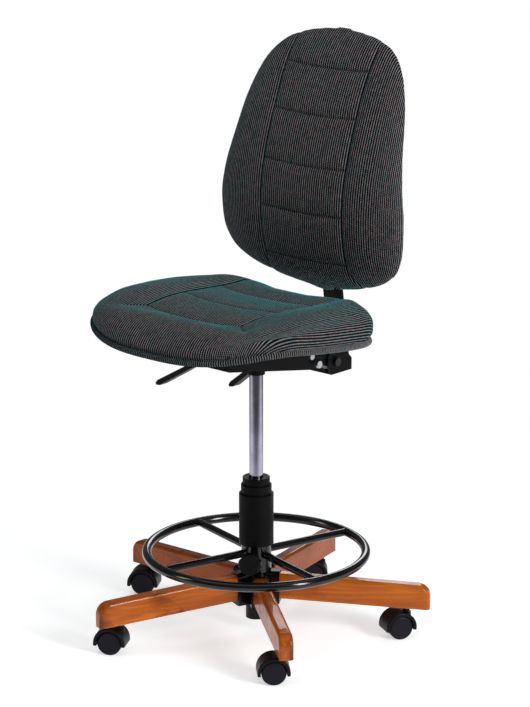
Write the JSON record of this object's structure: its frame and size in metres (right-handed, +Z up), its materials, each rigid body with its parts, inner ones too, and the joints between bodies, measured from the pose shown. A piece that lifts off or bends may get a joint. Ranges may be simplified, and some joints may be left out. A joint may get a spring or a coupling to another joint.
{
  "type": "drafting chair",
  "caption": "High drafting chair: shaped padded seat and tall back on a gas lift, round foot ring, wooden star base on twin-wheel castors.",
  "frame": {"origin": "on the floor at the axis of the gas-lift column", "axes": "+Z up, the sitter faces -Y, +X is the sitter's left"},
  "size_m": [0.6698, 0.6875, 1.216],
  "materials": {
    "hub_black": "semi-gloss black powder coat",
    "oak_stain": "warm orange-brown stain under gloss varnish",
    "zinc": "bright zinc plate",
    "castor_black": "moulded nylon, fine texture",
    "tube_steel": "satin ground steel",
    "dark_steel": "oiled steel",
    "cover_black": "matte black",
    "ring_black": "gloss black powder coat",
    "knob_black": "moulded, satin",
    "acetal": "natural white acetal",
    "brass_valve": "machined",
    "control_black": "black e-coat",
    "plywood": "black-stained plywood",
    "seat_cloth": "charcoal cloth with fine light ribs and a teal ground"
  },
  "bodies": {
    "base": {"base_hub": "hub_black", "leg_screws": "dark_steel", "castor_sockets": "zinc", "castor_stems": "dark_steel", "column_tube": "hub_black", "column_bushing": "acetal", "column_cover_inner": "cover_black", "leg_1": "oak_stain", "leg_2": "oak_stain", "leg_3": "oak_stain", "leg_4": "oak_stain", "leg_5": "oak_stain"},
    "castor_1": {"castor_hood_1": "castor_black", "castor_axle_1": "dark_steel"},
    "wheel_1a": {"castor_wheel_1a": "castor_black"},
    "wheel_1b": {"castor_wheel_1b": "castor_black"},
    "castor_2": {"castor_hood_2": "castor_black", "castor_axle_2": "dark_steel"},
    "wheel_2a": {"castor_wheel_2a": "castor_black"},
    "wheel_2b": {"castor_wheel_2b": "castor_black"},
    "castor_3": {"castor_hood_3": "castor_black", "castor_axle_3": "dark_steel"},
    "wheel_3a": {"castor_wheel_3a": "castor_black"},
    "wheel_3b": {"castor_wheel_3b": "castor_black"},
    "castor_4": {"castor_hood_4": "castor_black", "castor_axle_4": "dark_steel"},
    "wheel_4a": {"castor_wheel_4a": "castor_black"},
    "wheel_4b": {"castor_wheel_4b": "castor_black"},
    "castor_5": {"castor_hood_5": "castor_black", "castor_axle_5": "dark_steel"},
    "wheel_5a": {"castor_wheel_5a": "castor_black"},
    "wheel_5b": {"castor_wheel_5b": "castor_black"},
    "spindle": {"piston_rod": "dark_steel", "rod_piston": "acetal", "thrust_bearing": "dark_steel", "retaining_clip": "dark_steel"},
    "lift": {"pressure_tube": "tube_steel", "rod_guide_seal": "acetal", "valve_body": "brass_valve", "control_housing": "control_black", "control_bolts": "zinc"},
    "release_pin": {"release_pin": "dark_steel"},
    "height_lever": {"height_lever": "control_black"},
    "tilt_lever": {"tilt_lever": "control_black"},
    "seat": {"seat_plate": "control_black", "seat_board": "plywood", "seat_welt": "seat_cloth", "seat_cushion": "seat_cloth"},
    "back_arm": {"back_bracket": "control_black", "back_bar": "control_black"},
    "back": {"back_channel": "control_black", "back_board": "plywood", "back_cushion": "seat_cloth"},
    "foot_ring": {"ring_rim": "ring_black", "ring_spokes": "ring_black", "ring_collar": "ring_black", "column_cover_outer": "cover_black"},
    "cover_middle": {"column_cover_middle": "cover_black"},
    "clamp": {"clamp_pad": "acetal"},
    "knob": {"ring_knob": "knob_black"}
  },
  "joints": [
    {"name": "castor_swivel_1", "type": "hinge", "parent": "base", "child": "castor_1", "pos_m": [0.24261, -0.19298, 0.05], "axis": [0, 0, 1], "continuous": true},
    {"name": "wheel_spin_1a", "type": "hinge", "parent": "castor_1", "child": "wheel_1a", "pos_m": [0.23011, -0.20593, 0.025], "axis": [0.7193, -0.6947, 0], "continuous": true},
    {"name": "wheel_spin_1b", "type": "hinge", "parent": "castor_1", "child": "wheel_1b", "pos_m": [0.23011, -0.20593, 0.025], "axis": [0.7193, -0.6947, 0], "continuous": true},
    {"name": "castor_swivel_2", "type": "hinge", "parent": "base", "child": "castor_2", "pos_m": [0.2585, 0.1711, 0.05], "axis": [0, 0, 1], "continuous": true},
    {"name": "wheel_spin_2a", "type": "hinge", "parent": "castor_2", "child": "wheel_2a", "pos_m": [0.24978, 0.15536, 0.025], "axis": [0.8746, -0.4848, 0], "continuous": true},
    {"name": "wheel_spin_2b", "type": "hinge", "parent": "castor_2", "child": "wheel_2b", "pos_m": [0.24978, 0.15536, 0.025], "axis": [0.8746, -0.4848, 0], "continuous": true},
    {"name": "castor_swivel_3", "type": "hinge", "parent": "base", "child": "castor_3", "pos_m": [-0.08284, 0.29873, 0.05], "axis": [0, 0, 1], "continuous": true},
    {"name": "wheel_spin_3a", "type": "hinge", "parent": "castor_3", "child": "wheel_3a", "pos_m": [-0.09622, 0.28668, 0.025], "axis": [0.6691, -0.7431, 0], "continuous": true},
    {"name": "wheel_spin_3b", "type": "hinge", "parent": "castor_3", "child": "wheel_3b", "pos_m": [-0.09622, 0.28668, 0.025], "axis": [0.6691, -0.7431, 0], "continuous": true},
    {"name": "castor_swivel_4", "type": "hinge", "parent": "base", "child": "castor_4", "pos_m": [-0.30971, 0.01352, 0.05], "axis": [0, 0, 1], "continuous": true},
    {"name": "wheel_spin_4a", "type": "hinge", "parent": "castor_4", "child": "wheel_4a", "pos_m": [-0.32497, 0.00398, 0.025], "axis": [0.5299, -0.848, 0], "continuous": true},
    {"name": "wheel_spin_4b", "type": "hinge", "parent": "castor_4", "child": "wheel_4b", "pos_m": [-0.32497, 0.00398, 0.025], "axis": [0.5299, -0.848, 0], "continuous": true},
    {"name": "castor_swivel_5", "type": "hinge", "parent": "base", "child": "castor_5", "pos_m": [-0.10856, -0.29037, 0.05], "axis": [0, 0, 1], "continuous": true},
    {"name": "wheel_spin_5a", "type": "hinge", "parent": "castor_5", "child": "wheel_5a", "pos_m": [-0.12415, -0.29937, 0.025], "axis": [0.5, -0.866, 0], "continuous": true},
    {"name": "wheel_spin_5b", "type": "hinge", "parent": "castor_5", "child": "wheel_5b", "pos_m": [-0.12415, -0.29937, 0.025], "axis": [0.5, -0.866, 0], "continuous": true},
    {"name": "seat_swivel", "type": "hinge", "parent": "base", "child": "spindle", "pos_m": [0, 0, 0.03], "axis": [0, 0, 1], "continuous": true},
    {"name": "gas_lift", "type": "slide", "parent": "spindle", "child": "lift", "axis": [0, 0, 1], "range_m": [-0.185, 0]},
    {"name": "release_pin_travel", "type": "slide", "parent": "lift", "child": "release_pin", "axis": [0, 0, 1], "range_m": [-0.0035, 0]},
    {"name": "height_lever_pull", "type": "hinge", "parent": "lift", "child": "height_lever", "pos_m": [-0.03, -0.042, 0.606], "axis": [0, 1, 0], "range_deg": [0, 6], "stiffness_Nm_per_rad": 6, "springref_deg": -4.58},
    {"name": "tilt_lever_pull", "type": "hinge", "parent": "lift", "child": "tilt_lever", "pos_m": [-0.046, 0.11, 0.561], "axis": [0, 1, 0], "range_deg": [0, 9], "stiffness_Nm_per_rad": 4, "springref_deg": -4.58},
    {"name": "seat_tilt", "type": "hinge", "parent": "lift", "child": "seat", "pos_m": [0, -0.11, 0.63], "axis": [1, 0, 0], "range_deg": [0, 6]},
    {"name": "back_recline", "type": "hinge", "parent": "lift", "child": "back_arm", "pos_m": [0, 0.2, 0.537], "axis": [1, 0, 0], "range_deg": [-15, 0]},
    {"name": "back_height", "type": "slide", "parent": "back_arm", "child": "back", "axis": [0, -0.1426, 0.9898], "range_m": [0, 0.08]},
    {"name": "ring_height", "type": "slide", "parent": "base", "child": "foot_ring", "axis": [0, 0, 1], "range_m": [0, 0.05]},
    {"name": "cover_slide", "type": "slide", "parent": "base", "child": "cover_middle", "axis": [0, 0, 1], "range_m": [0, 0.025]},
    {"name": "clamp_travel", "type": "slide", "parent": "foot_ring", "child": "clamp", "axis": [0.5, -0.866, 0], "range_m": [0, 0.0015]},
    {"name": "knob_turn", "type": "hinge", "parent": "clamp", "child": "knob", "pos_m": [0.025, -0.0433, 0.16], "axis": [-0.5, 0.866, 0], "range_deg": [-360, 0]}
  ],
  "couplings": [
    {"joint": "release_pin_travel", "follows": "height_lever_pull", "m_per_rad": -0.03},
    {"joint": "cover_slide", "follows": "ring_height", "ratio": 0.5},
    {"joint": "knob_turn", "follows": "clamp_travel", "rad_per_m": -4188.8}
  ]
}
